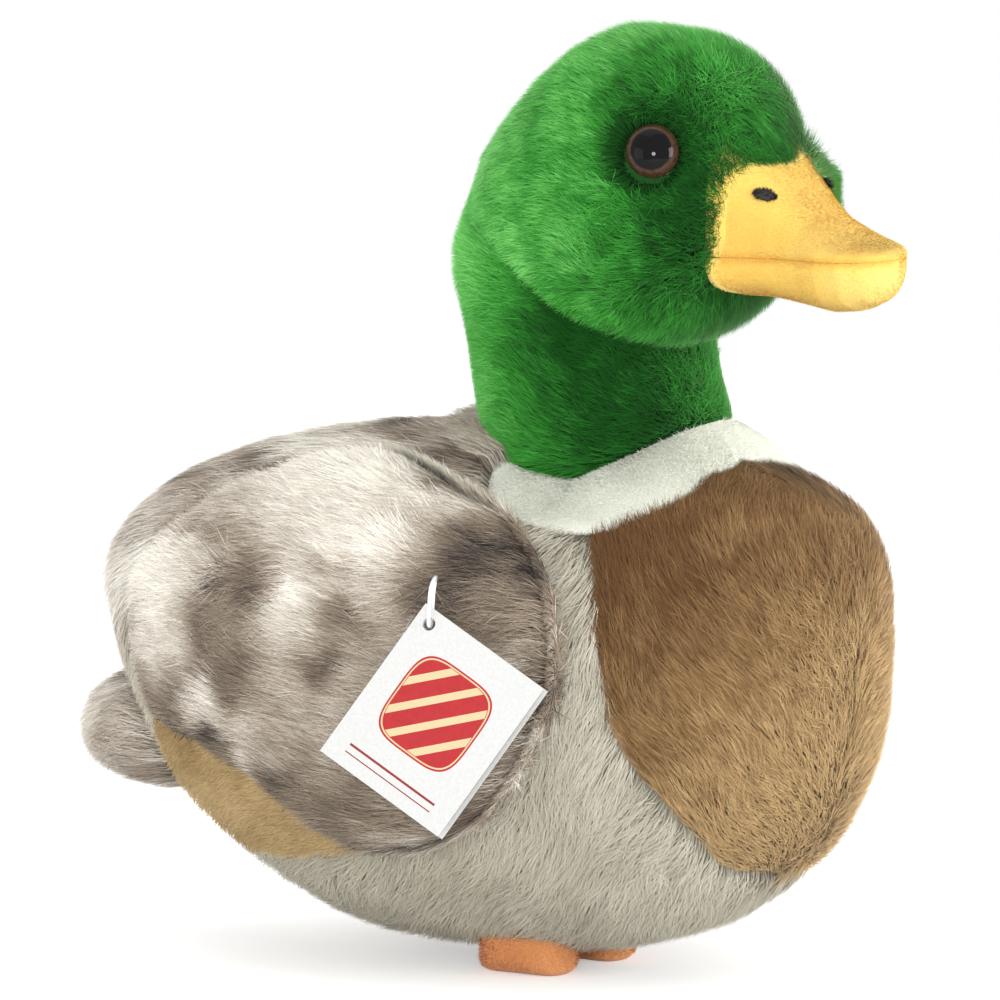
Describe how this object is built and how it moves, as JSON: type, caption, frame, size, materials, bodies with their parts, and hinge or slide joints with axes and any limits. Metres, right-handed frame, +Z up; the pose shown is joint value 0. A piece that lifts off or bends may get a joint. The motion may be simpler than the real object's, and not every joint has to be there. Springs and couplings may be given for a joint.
{
  "type": "plush duck",
  "caption": "Plush mallard drake sitting low on padded feet, with a panelled body, lifting wings, tail, flared collar, long neck, round head, velour bill, glossy eyes and a folded swing tag.",
  "frame": {"origin": "middle of the whole box, swing tag and all, at the height of the soles", "axes": "+Z up, the duck faces -Y, its right wing and the swing tag are on -X; its plane of symmetry is x = 8.5 mm"},
  "size_m": [0.1648, 0.2262, 0.2317],
  "materials": {
    "head": "green pile, combed back, with pale tips",
    "collar": "white short velour",
    "breast": "brown pile, combed down",
    "belly": "pale grey pile, combed down",
    "mottled": "white, grey and brown mottled long pile, combed to the rear",
    "tan": "tan short pile",
    "bill": "yellow short velour",
    "foot": "orange short velour",
    "thread": "black embroidery thread",
    "eye": "glossy, black pupil in a brown ring",
    "washer": "white moulded plastic",
    "stuffing": "loose polyester filling",
    "card": "white card",
    "loop": "clear white thin plastic"
  },
  "bodies": {
    "duck": {"body_stuffing": "stuffing", "breast_right": "breast", "breast_left": "breast", "back": "mottled", "belly": "belly", "neck": "head", "collar": "collar", "head": "head", "head_and_neck_stuffing": "stuffing", "upper_bill": "bill", "lower_bill": "bill", "nostril_right": "thread", "nostril_left": "thread", "eye_right": "eye", "eye_left": "eye", "eye_washer_right": "washer", "eye_washer_left": "washer", "tail": "mottled", "tail_stuffing": "stuffing", "foot_right": "foot", "foot_left": "foot"},
    "wing_right": {"wing_right_lining": "tan", "wing_right_wadding": "stuffing", "wing_right_cover": "mottled"},
    "wing_left": {"wing_left_lining": "tan", "wing_left_wadding": "stuffing", "wing_left_cover": "mottled"},
    "tag_loop": {"tag_loop": "loop"},
    "tag": {"tag_back_leaf": "card"},
    "tag_leaf": {"tag_front_leaf": "card"}
  },
  "joints": [
    {"name": "wing_right_lift", "type": "hinge", "parent": "duck", "child": "wing_right", "pos_m": [-0.0245, 0.002, 0.12821], "axis": [0, 1, 0], "range_deg": [0, 60]},
    {"name": "wing_left_lift", "type": "hinge", "parent": "duck", "child": "wing_left", "pos_m": [0.0415, 0.002, 0.12821], "axis": [0, -1, 0], "range_deg": [0, 60]},
    {"name": "tag_loop_lift", "type": "hinge", "parent": "wing_right", "child": "tag_loop", "pos_m": [-0.05929, -0.02559, 0.10418], "axis": [-0.342, 0.9397, 0], "range_deg": [0, 70]},
    {"name": "tag_swing", "type": "hinge", "parent": "tag_loop", "child": "tag", "pos_m": [-0.06537, -0.0278, 0.0935], "axis": [-0.9033, -0.3288, 0.2756], "range_deg": [-45, 45]},
    {"name": "tag_open", "type": "hinge", "parent": "tag", "child": "tag_leaf", "pos_m": [-0.06629, -0.02474, 0.0956], "axis": [-0.4035, 0.4328, -0.8061], "range_deg": [-4, 10], "stiffness_Nm_per_rad": 0.01}
  ]
}
